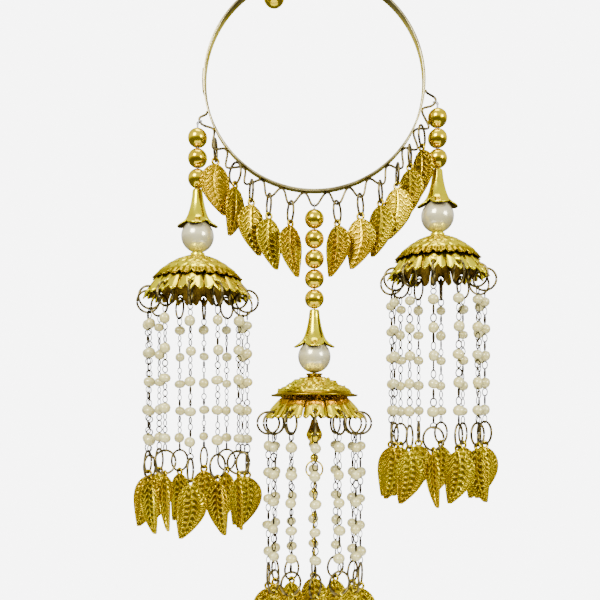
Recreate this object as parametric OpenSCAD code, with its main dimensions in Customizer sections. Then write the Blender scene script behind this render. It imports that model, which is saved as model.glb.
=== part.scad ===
// Kalire bridal ornament: a flat-strip bangle edged with a wave wire, leaf charms on jump rings,
// and three domed drops hung on beads, each with a petal skirt and twelve beaded strands.
// Frame: +Z up, +X right, +Y away from the viewer. The origin is the inner top of the bangle,
// where the ornament hangs.

/* [Bangle] */
// Inner radius of the bangle
bangle_r = 32.5; // [31.5:0.5:33.5]
// Thickness of the bangle strip
strip_t = 0.7; // [0.6:0.1:0.9]
// Width of the bangle strip
strip_w = 3.2; // [2.8:0.2:3.8]
// Thickness of the wave wire
wave_t = 0.6; // [0.5:0.05:0.65]
// Diameter of the ball under the bangle's top
top_ball_d = 6.3; // [5.6:0.1:6.8]

/* [Beads] */
// Diameter of a gold bead
gold_bead_d = 5.8; // [5.4:0.1:5.9]
// Diameter of a large pearl
pearl_d = 9.8; // [9.2:0.1:10]
// Diameter of the stringing thread
thread_d = 0.6; // [0.4:0.1:0.7]
// Diameter of the hole drilled through a bead or pearl
hole_d = 1; // [0.9:0.1:1.2]

/* [Caps, domes and skirts] */
// Length of a bell cap
cap_l = 11.2; // [10.5:0.1:11.5]
// Wall of the caps, domes and skirts
wall_t = 0.45; // [0.35:0.05:0.5]
// Height of a side dome
dome_h = 7.2; // [6.6:0.2:7.4]
// Number of scallops round a side dome's rim
dome_scallops = 22; // [18:2:26]

/* [Rings, strands and leaves] */
// Wire diameter of the jump rings
ring_wire_d = 0.6; // [0.5:0.05:0.65]
// Mean diameter of a jump ring on the bangle
charm_ring_d = 6.4; // [6.2:0.1:6.5]
// Mean diameter of a jump ring on a drop
drop_ring_d = 6.6; // [6.4:0.1:6.8]
// Diameter of a small strand pearl
seed_d = 3; // [2.6:0.1:3.2]
// Diameter of the strand's wire core
core_d = 0.5; // [0.4:0.05:0.6]
// Length of a leaf below its eye
leaf_l = 15.6; // [14.6:0.2:16]
// Greatest width of a leaf
leaf_w = 9; // [8.4:0.2:9.2]
// Thickness of a leaf's plate
leaf_t = 0.5; // [0.4:0.05:0.6]
// Height of the rim and veins on each face of a leaf
relief_t = 0.2; // [0.15:0.05:0.25]

/* [Hidden] */
$fn = 48;
clear = 0.15;
ring_r = ring_wire_d / 2;
charm_ring_r = charm_ring_d / 2;
drop_ring_r = drop_ring_d / 2;
gold_bead_r = gold_bead_d / 2;
pearl_r = pearl_d / 2;
thread_r = thread_d / 2;
hole_r = hole_d / 2;
strip_outer = bangle_r + strip_t;
lap_from = -96;
lap_sweep = 12;
lap_t = 0.35;
ball_x = -12.1;
ball_z = -7.1;
ball_post_r = 0.55;
petal_count = 12;

// The wave wire's valleys, from the left drop round to the right drop.
// Columns: angle from straight down, reach from the bangle's centre, slope of the wire there,
// angle of the peak that follows.
VALLEY = [
    [-70.8, 36.4, -62, -64.3], [-55.6, 35.9, 0, -51.8], [-44.8, 36.5, 0, -38.9], [-33.3, 36.8, 0, -27.8],
    [-21.5, 37.2, 0, -16.8], [-11, 37.5, 0, -5.2], [0, 37.3, 0, 6.6], [10.6, 37.4, 0, 17.8],
    [21.8, 37.3, 0, 28.9], [33.3, 36.8, 0, 40.7], [44.6, 36.6, 0, 52.5], [55.9, 36.5, 0, 63.2],
    [67.2, 36.5, 0, 75.2], [80.3, 36.8, 62, 85.7]
];
valley_count = len(VALLEY);
wave_start = -74.3;
wave_foot = strip_outer + wave_t / 2 - 0.1;
wave_steps = 12;
peak_hold = 1.5;
valley_hold = 1.5;

// The leaf charms on the bangle.
// Columns: valley, turn of the ring, turn of the leaf, forward swing of the ring, place along the valley.
CHARM = [
    [1, 89, -160, 64, 0.52], [2, 127, 58, 28, 0.62], [3, 103, -149, 0, 0.62], [4, 104, -144, 0, 0.5],
    [5, 107, -138, 0, 0.5], [7, 67, -40, 0, 0.5], [8, 70, -14, 0, 0.5], [9, 75, -37, 0, 0.47],
    [10, 90, -23, 22, 0.42], [11, 74, -43, 14, 0.36], [12, 64, -55, 0, 0.38]
];

// The three drops.
// Columns: valley, fall from knot to first bead, number of gold beads, bead pitch, radius of the dome,
// radius of the skirt, curve of the skirt, turn of the first strand, pitch of the strand pearls.
DROP = [
    [0, 4.7, 3, 6.1, 13.5, 16.2, 2.15, 0, 8.5],
    [6, 3.2, 5, 6, 13, 15, 1.8, 0, 7.9],
    [13, 4.6, 3, 6.1, 12.9, 15, 2.15, 15, 7.95]
];
LEFT = DROP[0];
CENTRE = DROP[1];
RIGHT = DROP[2];

// Each drop's strands, anticlockwise from the front.
// Columns: extra length of the strand, turn of its end ring, turn of its leaf.
LEFT_STRAND = [
    [2.2, 84, -4], [1.2, 56, 140], [0.4, 20, 112], [1, 100, 22], [1.4, 60, -17], [0.6, 40, -48],
    [0, 78, -8], [0.8, 50, -38], [0.2, 120, 30], [0.6, 84, 6], [1.6, 72, 134], [0, 36, 118]
];
CENTRE_STRAND = [
    [1, 60, 140], [0.4, 30, 118], [1, 100, 14], [0.2, 76, -6], [0.8, 60, -28], [0.2, 40, -40],
    [0, 80, -18], [1, 50, -38], [0.4, 110, 24], [0.2, 86, 176], [1, 64, 166], [0.6, 34, 132]
];
RIGHT_STRAND = [
    [0.8, 60, -30], [0.4, 44, 130], [0, 110, 20], [0.8, 84, -4], [0.4, 56, -34], [0.2, 44, -50],
    [0, 86, 2], [0.6, 120, 32], [0.2, 80, -10], [0.4, 64, -24], [1.2, 66, -20], [1.6, 20, 104]
];

loop_r = 0.68;
loop_wire_r = 0.15;
knot_r = 0.45;
cap_tip_r = 6.1;
cap_notch_r = 3.6;
neck_r = 2.15;
neck_h = 0.8;
shell_gap = 0.3;
skirt_drop = 13.8;
petal_hole_at = 0.9;
petal_hole_r = 0.78;
petal_slit_at = 0.64;
petal_gap_at = 0.61;
petal_gap_r = 0.95;
eye_r = 0.75;
eye_wire_r = 0.2;
leaf_eye_r = 1.3;
leaf_hole_r = 0.72;
seeds_on_strand = 5;
strand_lead = 3.3;

// Places on the bangle
function outward(angle) = [sin(angle), -cos(angle)];
function on_bangle(angle, r) = [0, -bangle_r] + r * outward(angle);
function mix(a, b, t) = a + (b - a) * t;
function bend(p, q, r, s, t) =
    let (u = 1 - t)
    u * u * u * p + 3 * u * u * t * q + 3 * u * t * t * r + t * t * t * s;
function heading(angle) = [cos(angle), sin(angle)];
function peak(angle) = on_bangle(angle, wave_foot);
function peak_before(i) = i == 0 ? wave_start : VALLEY[i - 1][3];
function wave_down(a, low, hold, t) = bend(peak(a), peak(a) + peak_hold * heading(a), low - hold, low, t);
function wave_up(a, low, hold, t) = bend(low, low + hold, peak(a) - peak_hold * heading(a), peak(a), t);
function wave_point(i, t) = let (
    v = VALLEY[i],
    low = on_bangle(v[0], v[1]),
    hold = (valley_hold + 0.8 * abs(sin(v[0]))) * heading(v[2])
) t < 0.5 ? wave_down(peak_before(i), low, hold, 2 * t) : wave_up(v[3], low, hold, 2 * t - 1);

// Places on a drop
function knot(drop) = on_bangle(VALLEY[drop[0]][0], VALLEY[drop[0]][1] + loop_r);
function bead_z(drop, k) = knot(drop)[1] - drop[1] - k * drop[3];
function cap_z(drop) = bead_z(drop, drop[2] - 1) - gold_bead_r - 0.4;
function pearl_z(drop) = cap_z(drop) - 9.1 - pearl_r;
function neck_z(drop) = pearl_z(drop) - pearl_r - clear;
function skirt_top(drop) = neck_z(drop) - neck_h - wall_t - shell_gap;
function skirt_height(drop) = skirt_drop - neck_h - wall_t - shell_gap;
function skirt_z(drop, r) = skirt_top(drop) - skirt_height(drop) * pow(r / drop[5], drop[6]);
function strand_angle(drop, k) = -90 + drop[7] + k * 360 / petal_count;
function petal_hole_z(drop) = skirt_z(drop, petal_hole_at * drop[5]) - 0.2;
function skirt_ring_z(drop) = petal_hole_z(drop) - drop_ring_r + 0.35;
function strand_top(drop) = skirt_ring_z(drop) - drop_ring_r - clear;
function strand_length(drop, row) = 2 * strand_lead + (seeds_on_strand - 1) * drop[8] + row[0];
function end_ring_z(drop, row) = strand_top(drop) - strand_length(drop, row) - drop_ring_r - clear;
function leaf_z(drop, row) = end_ring_z(drop, row) - drop_ring_r - 0.25;

// Outlines
function sub_points(list) = [for (k = [len(list) - 1:-1:0]) list[k]];
function across(a, b) = let (d = b - a) [-d[1], d[0]] / norm(d);
function side_of(points, k, h) = let (
    before = across(points[max(k - 1, 0)], points[max(k, 1)]),
    after = across(points[min(k, len(points) - 2)], points[min(k + 1, len(points) - 1)]),
    middle = (before + after) / norm(before + after)
) points[k] + middle * h / (middle * before);
function band(points, h) = concat(
    [for (k = [0:len(points) - 1]) side_of(points, k, h)],
    sub_points([for (k = [0:len(points) - 1]) side_of(points, k, -h)])
);
function shell(points, t) = concat(points, sub_points([for (k = [0:len(points) - 1]) side_of(points, k, t)]));

module up_plate(h) {
    rotate([90, 0, 0])
        linear_extrude(h, center = true)
            children();
}

module wire_ring(r, wire_r) {
    rotate_extrude()
        translate([r, 0])
            circle(wire_r, $fn = 16);
}

// The bangle: lapped strip, soldered wave wire and the ball on its post
module strip() {
    up_plate(strip_w)
        translate([0, -bangle_r])
            difference() {
                circle(strip_outer);
                circle(bangle_r);
            }
}

module lap() {
    translate([0, 0, -bangle_r])
        rotate([90, 0, 0])
            rotate([0, 0, -90 + lap_from])
                rotate_extrude(angle = lap_sweep)
                    translate([strip_outer - 0.1, -strip_w / 2 + 0.1])
                        square([lap_t + 0.1, strip_w - 0.2]);
}

module wave() {
    line = concat(
        [for (i = [0:valley_count - 1]) for (k = [0:wave_steps - 1]) wave_point(i, k / wave_steps)],
        [wave_point(valley_count - 1, 1)]
    );
    up_plate(wave_t)
        polygon(band(line, wave_t / 2));
}

module top_ball() {
    post_top = -bangle_r + sqrt(pow(bangle_r + strip_t / 2, 2) - pow(ball_x, 2));
    translate([ball_x, 0, ball_z])
        sphere(d = top_ball_d);
    translate([ball_x, 0, ball_z])
        cylinder(r = ball_post_r, h = post_top - ball_z);
}

module bangle() {
    color("goldenrod")
        union() {
            strip();
            lap();
            wave();
            top_ball();
        }
}

// A leaf hangs from the centre of its eye's hole, its face turned to -Y and its tip to -X.
function leaf_mid(t) = [0.5 * sin(180 * t) - 3 * pow(t, 2.6), -0.6 - leaf_l * t];
function leaf_half(t) = leaf_w / 2 * pow(sin(180 * pow(t, 0.72)), 0.8);
function leaf_side(side, inset, steps) = [for (k = [0:steps])
    let (t = mix(0.02, 0.97, k / steps))
    leaf_mid(mix(inset / 8, 1 - inset / 7, t)) + [side * max(leaf_half(t) - inset, 0.12), 0]
];
function leaf_outline(inset) = concat(leaf_side(1, inset, 9), sub_points(leaf_side(-1, inset, 9)));
vein_at = [0.18, 0.38, 0.58];
vein_w = 0.34;

module leaf_relief() {
    rib = [for (k = [0:6]) leaf_mid(mix(0.03, 0.93, k / 6))];
    difference() {
        polygon(leaf_outline(0));
        polygon(leaf_outline(0.6));
    }
    polygon(band(rib, 0.28));
    for (t = vein_at, side = [-1, 1])
        polygon(band(
            [leaf_mid(t), leaf_mid(t + 0.12) + [side * (leaf_half(t + 0.12) - 0.35), 0]],
            vein_w / 2
        ));
}

module leaf() {
    difference() {
        union() {
            up_plate(leaf_t)
                polygon(leaf_outline(0));
            up_plate(leaf_t + 2 * relief_t)
                leaf_relief();
            rotate([90, 0, 0])
                cylinder(r = leaf_eye_r, h = 0.8, center = true);
        }
        rotate([90, 0, 0])
            cylinder(r = leaf_hole_r, h = 2, center = true);
    }
}

// Leaf charms on the bangle. A ring rests on the wire, swung forward about it, and its leaf
// hangs at the ring's foot.
function ring_side(turn) = (sin(turn) > 0 ? -1 : 1) * [cos(turn), sin(turn), 0];
charm_fall = charm_ring_r - ring_r - wave_t / 2 - 0.25;
function ring_centre(charm) = let (
    rest = wave_point(charm[0], charm[4]),
    aside = charm_fall * sin(charm[3]) * ring_side(charm[1])
) [rest[0] + aside[0], aside[1], rest[1] - charm_fall * cos(charm[3])];

module charm_rings() {
    color("darkgoldenrod")
        for (charm = CHARM)
            translate(ring_centre(charm))
                rotate([90, 0, charm[1]])
                    wire_ring(charm_ring_r, ring_r);
}

module charm_leaf(k) {
    charm = CHARM[k - 1];
    color("gold")
        translate(ring_centre(charm) - [0, 0, charm_ring_r + 0.25])
            rotate([0, 0, charm[2]])
                leaf();
}

// Drop pieces, each named for its drop
module at_axis(drop) {
    translate([knot(drop)[0], 0, 0])
        children();
}

module bore(r, from, to) {
    translate([0, 0, from])
        cylinder(r = r, h = to - from);
}

module thread(drop, low) {
    valley = VALLEY[drop[0]];
    rest = on_bangle(valley[0], valley[1]);
    color("ghostwhite")
        union() {
            translate([rest[0], 0, rest[1]])
                rotate([0, 90 - valley[0], 0])
                    wire_ring(loop_r, loop_wire_r);
            at_axis(drop) {
                translate([0, 0, knot(drop)[1] - 0.33])
                    sphere(knot_r);
                bore(thread_r, low, knot(drop)[1] - 0.33);
                translate([0, 0, low])
                    sphere(stopper_r);
            }
        }
}

module gold_bead(drop, k) {
    z = bead_z(drop, k - 1);
    color("gold")
        at_axis(drop)
            difference() {
                translate([0, 0, z])
                    sphere(gold_bead_r);
                bore(hole_r, z - gold_bead_r - 1, z + gold_bead_r + 1);
            }
}

module pearl(drop) {
    z = pearl_z(drop);
    color("ivory")
        at_axis(drop)
            difference() {
                translate([0, 0, z])
                    sphere(pearl_r);
                bore(hole_r, z - pearl_r - 1, z + pearl_r + 1);
            }
}

cap_profile = [
    [0.5, 0], [1.4, -0.1], [1.75, -2.6], [2.35, -5.6], [3.3, -8.4], [4.5, -9.9], [cap_tip_r + 0.2, -cap_l]
];
cap_petals = 4;
cap_outline = [for (k = [0:39])
    let (a = 9 * k, r = mix(cap_notch_r, cap_tip_r, pow(abs(cos(cap_petals * a / 2)), 1.6)))
    r * [cos(a), sin(a)]
];

module bell_cap(drop) {
    color("gold")
        at_axis(drop)
            translate([0, 0, cap_z(drop)])
                intersection() {
                    rotate_extrude()
                        polygon(shell(cap_profile, -0.35));
                    translate([0, 0, -cap_l - 2])
                        linear_extrude(cap_l + 3)
                            polygon(cap_outline);
                }
}

function dome_line_z(drop, r) = -neck_h - dome_h * pow(r / drop[4], 1.9);
dome_rows = 5;
scale_step = 0.22;
function dome_rows_line(drop) = [for (k = [0:dome_rows - 1])
    let (r0 = mix(neck_r, drop[4], k / dome_rows), r1 = mix(neck_r, drop[4], (k + 1) / dome_rows))
    each [[r0 + 0.01, dome_line_z(drop, r0)], [r1, dome_line_z(drop, r1) + scale_step]]
];
function dome_outer(drop) = concat([[hole_r, 0], [neck_r, 0]], dome_rows_line(drop));
function dome_inner(drop) = [for (k = [6:-1:0])
    let (r = mix(hole_r, drop[4], k / 6))
    [r, dome_line_z(drop, r) - wall_t]
];
function scallop_outline(r, count, depth) = [for (k = [0:6 * count - 1])
    let (a = 60 * k / count)
    (r - depth * (1 - abs(cos(count * a / 2)))) * [cos(a), sin(a)]
];

module side_dome(drop) {
    color("gold")
        at_axis(drop)
            translate([0, 0, neck_z(drop)])
                intersection() {
                    rotate_extrude()
                        polygon(concat(dome_outer(drop), dome_inner(drop)));
                    translate([0, 0, -12])
                        linear_extrude(14)
                            polygon(scallop_outline(drop[4] - 0.05, dome_scallops, 0.7));
                }
}

cone_line = [[neck_r, -0.8], [7, -3.2], [10.8, -5.1], [11.3, -6.1], [13, -6.4]];

module cone_dome(drop) {
    outer = concat([[hole_r, 0], [neck_r + 0.2, 0], [neck_r + 0.2, -0.4]], cone_line);
    inner = [[13, -6.8], [11, -6.6], [10.4, -5.5], [7, -3.65], [4, -2.2], [hole_r, -1.25]];
    color("gold")
        at_axis(drop)
            translate([0, 0, neck_z(drop)])
                rotate_extrude()
                    polygon(concat(outer, inner));
}

// A petal's edge in plan: three lobes at the tip, and a slit to the next petal
petal_edge = [
    [0, 1], [0.2, 0.97], [0.36, 0.92], [0.5, 0.97], [0.68, 0.98], [0.84, 0.95], [0.96, 0.88],
    [1, petal_slit_at]
];
function petal_points(r, a) = concat(
    sub_points([for (p = petal_edge) let (b = a - p[0] * 180 / petal_count) p[1] * r * [cos(b), sin(b)]]),
    [for (k = [1:len(petal_edge) - 2])
        let (p = petal_edge[k], b = a + p[0] * 180 / petal_count)
        p[1] * r * [cos(b), sin(b)]]
);
function skirt_outline(drop) =
    [for (k = [0:petal_count - 1]) each petal_points(drop[5], strand_angle(drop, k))];

module skirt(drop) {
    line = concat(
        [[hole_r, skirt_top(drop)]],
        [for (t = [0.15, 0.3, 0.45, 0.6, 0.74, 0.88, 1.02]) [t * drop[5], skirt_z(drop, t * drop[5])]]
    );
    color("gold")
        at_axis(drop)
            difference() {
                intersection() {
                    rotate_extrude()
                        polygon(shell(line, -wall_t));
                    translate([0, 0, skirt_top(drop) - 16])
                        linear_extrude(18)
                            polygon(skirt_outline(drop));
                }
                for (k = [0:petal_count - 1])
                    rotate([0, 0, strand_angle(drop, k)])
                        translate([petal_hole_at * drop[5], 0, petal_hole_z(drop)])
                            rotate([0, 55, 0])
                                cylinder(r = petal_hole_r, h = 3, center = true);
                for (k = [0:petal_count - 1])
                    rotate([0, 0, strand_angle(drop, k + 0.5)])
                        translate([petal_gap_at * drop[5], 0, skirt_top(drop) - 10])
                            cylinder(r = petal_gap_r, h = 10);
            }
}

module at_strand(drop, k) {
    at_axis(drop)
        rotate([0, 0, strand_angle(drop, k)])
            translate([petal_hole_at * drop[5], 0, 0])
                children();
}

module skirt_rings(drop) {
    color("darkgoldenrod")
        for (k = [0:petal_count - 1])
            at_strand(drop, k)
                translate([0.3, 0, skirt_ring_z(drop)])
                    rotate([90, 0, 0])
                        wire_ring(drop_ring_r, ring_r);
}

// One strand as a wire core with its pearls on it and an eye at each end
module strand(drop, row, angle) {
    length = strand_length(drop, row);
    first = strand_lead + row[0] / 2;
    rotate([90, 0, 90])
        wire_ring(eye_r, eye_wire_r);
    translate([0, 0, -length])
        rotate([90, 0, row[1] - angle])
            rotate([0, 90, 0])
                wire_ring(eye_r, eye_wire_r);
    rotate_extrude()
        intersection() {
            union() {
                translate([0, -length + eye_r])
                    square([core_d / 2, length - 2 * eye_r]);
                for (k = [0:seeds_on_strand - 1])
                    translate([0, -first - k * drop[8]])
                        circle(d = seed_d);
            }
            translate([0, -length])
                square([seed_d, length]);
        }
}

module strands(drop, rows) {
    color("ivory")
        for (k = [0:petal_count - 1])
            at_strand(drop, k)
                translate([0.3, 0, strand_top(drop)])
                    strand(drop, rows[k], strand_angle(drop, k));
}

module end_rings(drop, rows) {
    color("darkgoldenrod")
        for (k = [0:petal_count - 1])
            at_strand(drop, k)
                translate([0.3, 0, end_ring_z(drop, rows[k])])
                    rotate([90, 0, rows[k][1] - strand_angle(drop, k)])
                        wire_ring(drop_ring_r, ring_r);
}

module leaves(drop, rows) {
    color("gold")
        for (k = [0:petal_count - 1])
            at_strand(drop, k)
                translate([0.3, 0, leaf_z(drop, rows[k])])
                    rotate([0, 0, rows[k][2] - strand_angle(drop, k)])
                        leaf();
}

// The turned finial below the centre skirt
finial_top = 13.9;
finial_h = 7.4;
finial_line = [
    [hole_r, 0], [0.9, 0], [1.1, -0.6], [1.5, -2], [2.2, -3.6], [2.4, -4.6], [2, -5.8], [1.2, -6.6],
    [1.3, 0.2 - finial_h], [hole_r, -finial_h]
];
stopper_r = 1.2;
centre_thread_low = neck_z(CENTRE) - finial_top - finial_h - stopper_r - clear;
side_thread_low = stopper_r + wall_t + clear;

module finial() {
    color("gold")
        at_axis(CENTRE)
            translate([0, 0, neck_z(CENTRE) - finial_top])
                rotate_extrude()
                    polygon(finial_line);
}

// The gold tail below the finial: a crimped ball, a ring and a thin chain with small gold bits on it
tail_ball_r = 1.25;
tail_ring_r = 2.5;
tail_ring_wire_r = 0.28;
tail_core_r = 0.35;
tail_bit_r = 0.9;
tail_bit_at = [10.1, 17, 25.1, 30];

module tail() {
    top = centre_thread_low - stopper_r - clear - tail_ball_r;
    ring_z = top - tail_ball_r - tail_ring_r + 0.25;
    low = tail_bit_at[len(tail_bit_at) - 1];
    color("gold")
        at_axis(CENTRE)
            translate([0, 0, top]) {
                sphere(tail_ball_r);
                translate([0, 0, ring_z - top])
                    rotate([90, 0, 0])
                        wire_ring(tail_ring_r, tail_ring_wire_r);
                translate([0, 0, -low])
                    cylinder(r = tail_core_r, h = low + ring_z - top - tail_ring_r);
                for (at = tail_bit_at)
                    translate([0, 0, -at])
                        sphere(tail_bit_r);
            }
}

bangle();
charm_rings();
charm_leaf(1);  // charm_leaf_1
charm_leaf(2);  // charm_leaf_2
charm_leaf(3);  // charm_leaf_3
charm_leaf(4);  // charm_leaf_4
charm_leaf(5);  // charm_leaf_5
charm_leaf(6);  // charm_leaf_6
charm_leaf(7);  // charm_leaf_7
charm_leaf(8);  // charm_leaf_8
charm_leaf(9);  // charm_leaf_9
charm_leaf(10);  // charm_leaf_10
charm_leaf(11);  // charm_leaf_11
thread(LEFT, skirt_top(LEFT) - side_thread_low);  // left_thread
gold_bead(LEFT, 1);  // left_bead_1
gold_bead(LEFT, 2);  // left_bead_2
gold_bead(LEFT, 3);  // left_bead_3
bell_cap(LEFT);  // left_bell_cap
pearl(LEFT);  // left_pearl
side_dome(LEFT);  // left_dome
skirt(LEFT);  // left_skirt
skirt_rings(LEFT);  // left_skirt_rings
strands(LEFT, LEFT_STRAND);  // left_strands
end_rings(LEFT, LEFT_STRAND);  // left_end_rings
leaves(LEFT, LEFT_STRAND);  // left_leaves
thread(CENTRE, centre_thread_low);  // centre_thread
gold_bead(CENTRE, 1);  // centre_bead_1
gold_bead(CENTRE, 2);  // centre_bead_2
gold_bead(CENTRE, 3);  // centre_bead_3
gold_bead(CENTRE, 4);  // centre_bead_4
gold_bead(CENTRE, 5);  // centre_bead_5
bell_cap(CENTRE);  // centre_bell_cap
pearl(CENTRE);  // centre_pearl
cone_dome(CENTRE);  // centre_dome
skirt(CENTRE);  // centre_skirt
skirt_rings(CENTRE);  // centre_skirt_rings
strands(CENTRE, CENTRE_STRAND);  // centre_strands
end_rings(CENTRE, CENTRE_STRAND);  // centre_end_rings
leaves(CENTRE, CENTRE_STRAND);  // centre_leaves
finial();  // centre_finial
tail();  // centre_tail
thread(RIGHT, skirt_top(RIGHT) - side_thread_low);  // right_thread
gold_bead(RIGHT, 1);  // right_bead_1
gold_bead(RIGHT, 2);  // right_bead_2
gold_bead(RIGHT, 3);  // right_bead_3
bell_cap(RIGHT);  // right_bell_cap
pearl(RIGHT);  // right_pearl
side_dome(RIGHT);  // right_dome
skirt(RIGHT);  // right_skirt
skirt_rings(RIGHT);  // right_skirt_rings
strands(RIGHT, RIGHT_STRAND);  // right_strands
end_rings(RIGHT, RIGHT_STRAND);  // right_end_rings
leaves(RIGHT, RIGHT_STRAND);  // right_leaves
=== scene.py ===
import math

import bmesh
import bpy
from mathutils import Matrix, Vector, noise


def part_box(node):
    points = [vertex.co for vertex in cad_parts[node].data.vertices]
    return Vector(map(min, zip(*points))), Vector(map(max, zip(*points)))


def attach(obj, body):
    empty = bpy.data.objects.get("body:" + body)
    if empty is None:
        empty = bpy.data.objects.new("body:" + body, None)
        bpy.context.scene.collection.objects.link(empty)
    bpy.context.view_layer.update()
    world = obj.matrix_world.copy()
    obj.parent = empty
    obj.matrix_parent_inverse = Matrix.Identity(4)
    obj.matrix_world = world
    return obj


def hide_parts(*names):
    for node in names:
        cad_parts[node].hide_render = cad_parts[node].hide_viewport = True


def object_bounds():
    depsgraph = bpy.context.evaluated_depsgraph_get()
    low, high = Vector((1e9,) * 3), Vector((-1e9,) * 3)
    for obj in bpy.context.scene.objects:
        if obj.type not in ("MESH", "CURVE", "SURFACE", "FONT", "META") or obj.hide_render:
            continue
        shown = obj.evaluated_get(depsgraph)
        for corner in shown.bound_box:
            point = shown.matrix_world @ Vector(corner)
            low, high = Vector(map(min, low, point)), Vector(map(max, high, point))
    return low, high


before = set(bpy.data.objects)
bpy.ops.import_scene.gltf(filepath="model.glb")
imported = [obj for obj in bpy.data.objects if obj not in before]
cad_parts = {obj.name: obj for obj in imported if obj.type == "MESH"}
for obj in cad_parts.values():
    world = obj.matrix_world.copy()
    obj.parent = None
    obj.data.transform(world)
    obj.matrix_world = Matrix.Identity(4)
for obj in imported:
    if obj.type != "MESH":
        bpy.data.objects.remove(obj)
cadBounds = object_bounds()
mm = 0.001
fullTurn = 2 * math.pi
quarterTurn = math.pi / 2

layout = {
    "drops": ("left", "centre", "right"),
    "valley": {"left": 0, "centre": 6, "right": 13},  # the wave wire's valley that carries each drop
    "beads": {"left": 3, "centre": 5, "right": 3},
    "strands": 12,  # round each skirt
    "firstTurn": {"left": 0, "centre": 0, "right": 15},  # degrees round the drop, from the front
    "pearlPitch": {"left": 8.5, "centre": 7.9, "right": 7.95},  # mm, as all sizes in these dictionaries
    "lead": 3.3,  # from a strand's eye to its first pearl
    "gap": 0.15,  # between two linked wires
    "leafGap": 0.25,  # between a leaf's eye and its ring
}

# One row for each strand, anticlockwise from the front: extra length, turn of the end ring, turn of the leaf.
strandRows = {
    "left": [(2.2, 84, -4), (1.2, 56, 140), (0.4, 20, 112), (1, 100, 22), (1.4, 60, -17), (0.6, 40, -48),
             (0, 78, -8), (0.8, 50, -38), (0.2, 120, 30), (0.6, 84, 6), (1.6, 72, 134), (0, 36, 118)],
    "centre": [(1, 60, 140), (0.4, 30, 118), (1, 100, 14), (0.2, 76, -6), (0.8, 60, -28), (0.2, 40, -40),
               (0, 80, -18), (1, 50, -38), (0.4, 110, 24), (0.2, 86, 176), (1, 64, 166), (0.6, 34, 132)],
    "right": [(0.8, 60, -30), (0.4, 44, 130), (0, 110, 20), (0.8, 84, -4), (0.4, 56, -34), (0.2, 44, -50),
              (0, 86, 2), (0.6, 120, 32), (0.2, 80, -10), (0.4, 64, -24), (1.2, 66, -20), (1.6, 20, 104)],
}

# One row for each leaf charm, from the left: valley of the wave wire, turn of the ring, turn of the leaf,
# forward swing, place along the valley.
charmRows = [(1, 89, -160, 64, 0.52), (2, 127, 58, 28, 0.62), (3, 103, -149, 0, 0.62), (4, 104, -144, 0, 0.5),
             (5, 107, -138, 0, 0.5), (7, 67, -40, 0, 0.5), (8, 70, -14, 0, 0.5), (9, 75, -37, 0, 0.47),
             (10, 90, -23, 22, 0.42), (11, 74, -43, 14, 0.36), (12, 64, -55, 0, 0.38)]


def clamp(value, low=0.0, high=1.0):
    return max(low, min(high, value))


def mix(a, b, t):
    return a + (b - a) * t


def smooth(low, high, value):
    t = clamp((value - low) / (high - low))
    return t * t * (3 - 2 * t)


def bump(distance, width):
    return math.exp(-(distance / width) ** 2)


def around(radius, angle, height):
    return Vector((radius * math.cos(angle), radius * math.sin(angle), height))


def wobble(seed, reach):
    return reach * noise.cell(Vector((seed * 1.37, seed * 0.71, 4.2)))


def middle(node):
    low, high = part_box(node)
    return (Vector(low) + Vector(high)) / 2


def topMiddle(node):
    spot = middle(node)
    spot.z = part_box(node)[1][2]
    return spot


def halfWidth(node):
    low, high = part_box(node)
    return (high[0] - low[0]) / 2 / mm


# Meshes

def newPiece(name, verts, edges, faces, material):
    mesh = bpy.data.meshes.new(name)
    mesh.from_pydata([tuple(v) for v in verts], edges, faces)
    mesh.materials.append(material)
    piece = bpy.data.objects.new(name, mesh)
    bpy.context.collection.objects.link(piece)
    return piece


def addVectors(piece, name, values):
    layer = piece.data.attributes.new(name, "FLOAT_VECTOR", "POINT")
    layer.data.foreach_set("vector", values)


def meshPiece(name, verts, faces, material, relief=None):
    piece = newPiece(name, verts, [], faces, material)
    piece.data.update()
    piece.data.polygons.foreach_set("use_smooth", [True] * len(faces))
    if relief:
        layer = piece.data.attributes.new("relief", "FLOAT", "POINT")
        layer.data.foreach_set("value", relief)
    return piece


def ringFaces(rows, steps, closed=False):
    # quads between rows of points round an axis
    faces = []
    for row in range(rows if closed else rows - 1):
        below = (row + 1) % rows
        for k in range(steps):
            beside = (k + 1) % steps
            faces.append((below * steps + k, below * steps + beside, row * steps + beside, row * steps + k))
    return faces


def sheetFaces(rows, cols, base=0, turned=False):
    # quads of a sheet of points, from its first point's number
    faces = []
    for i in range(rows):
        for j in range(cols):
            a = base + i * (cols + 1) + j
            quad = (a, a + cols + 1, a + cols + 2, a + 1)
            faces.append(quad[:1] + quad[:0:-1] if turned else quad)
    return faces


def lathe(name, outline, material, centre=(0, 0, 0), steps=48, closed=False, shape=None, relief=None):
    # turns (radius, height) points in mm round the Z axis; shape moves a point by its row and angle
    verts, values = [], []
    for row, (radius, height) in enumerate(outline):
        for k in range(steps):
            angle = fullTurn * k / steps
            r, z = shape(row, angle) if shape else (radius, height)
            verts.append((centre[0] + r * mm * math.cos(angle), centre[1] + r * mm * math.sin(angle),
                          centre[2] + z * mm))
            if relief:
                values.append(relief(row, angle))
    return meshPiece(name, verts, ringFaces(len(outline), steps, closed), material, values)


def ballLine(radius, steps, pole):
    # (radius, height) points down a ball's side, which stop just off its axis
    angles = [math.pi * k / steps for k in range(steps + 1)]
    return [(max(pole, radius * math.sin(a)), radius * math.cos(a)) for a in angles]


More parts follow.
